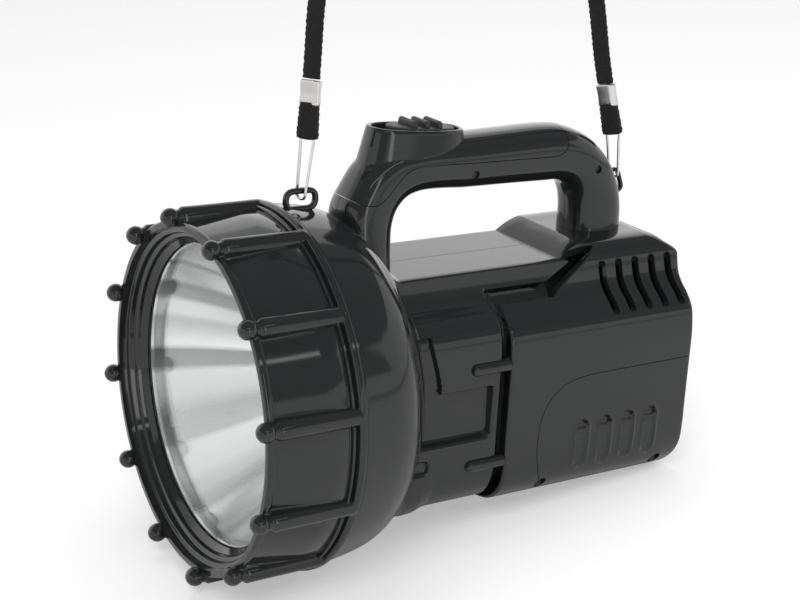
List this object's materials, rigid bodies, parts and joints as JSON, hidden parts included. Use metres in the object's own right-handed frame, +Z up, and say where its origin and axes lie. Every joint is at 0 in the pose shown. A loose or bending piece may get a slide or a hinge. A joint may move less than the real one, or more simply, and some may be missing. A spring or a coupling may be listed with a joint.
{
  "type": "handheld searchlight",
  "caption": "Handheld searchlight with a ribbed screw-on bezel, domed reflector head, battery housing, top handle with slide switch, and a clipped-on carrying strap.",
  "frame": {"origin": "on the floor under the middle of the lamp as it rests on its bezel and its heel, strap left out", "axes": "+Z up, -X the way the beam leaves, which rises by 6.4 degrees at rest, +Y the user's right-hand side"},
  "size_m": [0.2642, 0.1678, 0.313],
  "materials": {
    "gloss_black": "moulded gloss black plastic",
    "lens_glass": "clear polished",
    "seal_rubber": "matt black seal",
    "mirror_coat": "vacuum-metallised mirror",
    "bulb_metal": "plated steel bulb cap",
    "holder_plastic": "heat-proof bulb holder",
    "switch_black": "satin black plastic",
    "battery_case": "plain grey battery case",
    "bright_nickel": "bright nickel plate",
    "strap_braid": "flat black braid",
    "dark_screw": "blackened steel screw"
  },
  "bodies": {
    "lamp": {"reflector": "mirror_coat", "bulb_capsule": "lens_glass", "bulb_base": "bulb_metal", "bulb_holder": "holder_plastic", "head_housing": "gloss_black", "body_left": "gloss_black", "body_right": "gloss_black", "rear_housing": "gloss_black", "side_cover_left": "gloss_black", "side_cover_right": "gloss_black", "handle_left": "gloss_black", "handle_right": "gloss_black", "handle_top_cover": "gloss_black", "slide_switch": "switch_black", "battery_pack": "battery_case", "front_strap_eye": "gloss_black", "rear_strap_eye": "gloss_black", "front_wire_clip": "bright_nickel", "rear_wire_clip": "bright_nickel", "front_strap_fold": "strap_braid", "rear_strap_fold": "strap_braid", "front_crimp": "bright_nickel", "rear_crimp": "bright_nickel", "strap": "strap_braid", "cover_screw_left_1": "dark_screw", "cover_screw_left_2": "dark_screw", "cover_screw_right_1": "dark_screw", "cover_screw_right_2": "dark_screw", "handle_screw_1": "dark_screw", "handle_screw_2": "dark_screw"},
    "lens_stack": {"front_lens": "lens_glass", "lens_gasket": "seal_rubber"},
    "bezel": {"bezel_ring": "gloss_black"},
    "knob": {"switch_knob": "switch_black"}
  },
  "joints": [
    {"name": "bezel_slide", "type": "slide", "parent": "lamp", "child": "lens_stack", "axis": [-0.9938, 0, 0.1112], "range_m": [0, 0.008]},
    {"name": "bezel_turn", "type": "hinge", "parent": "lens_stack", "child": "bezel", "pos_m": [-0.11909, 0, 0.08831], "axis": [-0.9938, 0, 0.1112], "range_deg": [0, 720]},
    {"name": "knob_slide", "type": "slide", "parent": "lamp", "child": "knob", "axis": [-0.9938, 0, 0.1112], "range_m": [0, 0.006]}
  ],
  "couplings": [
    {"joint": "bezel_slide", "follows": "bezel_turn", "m_per_rad": 0.0006366}
  ]
}
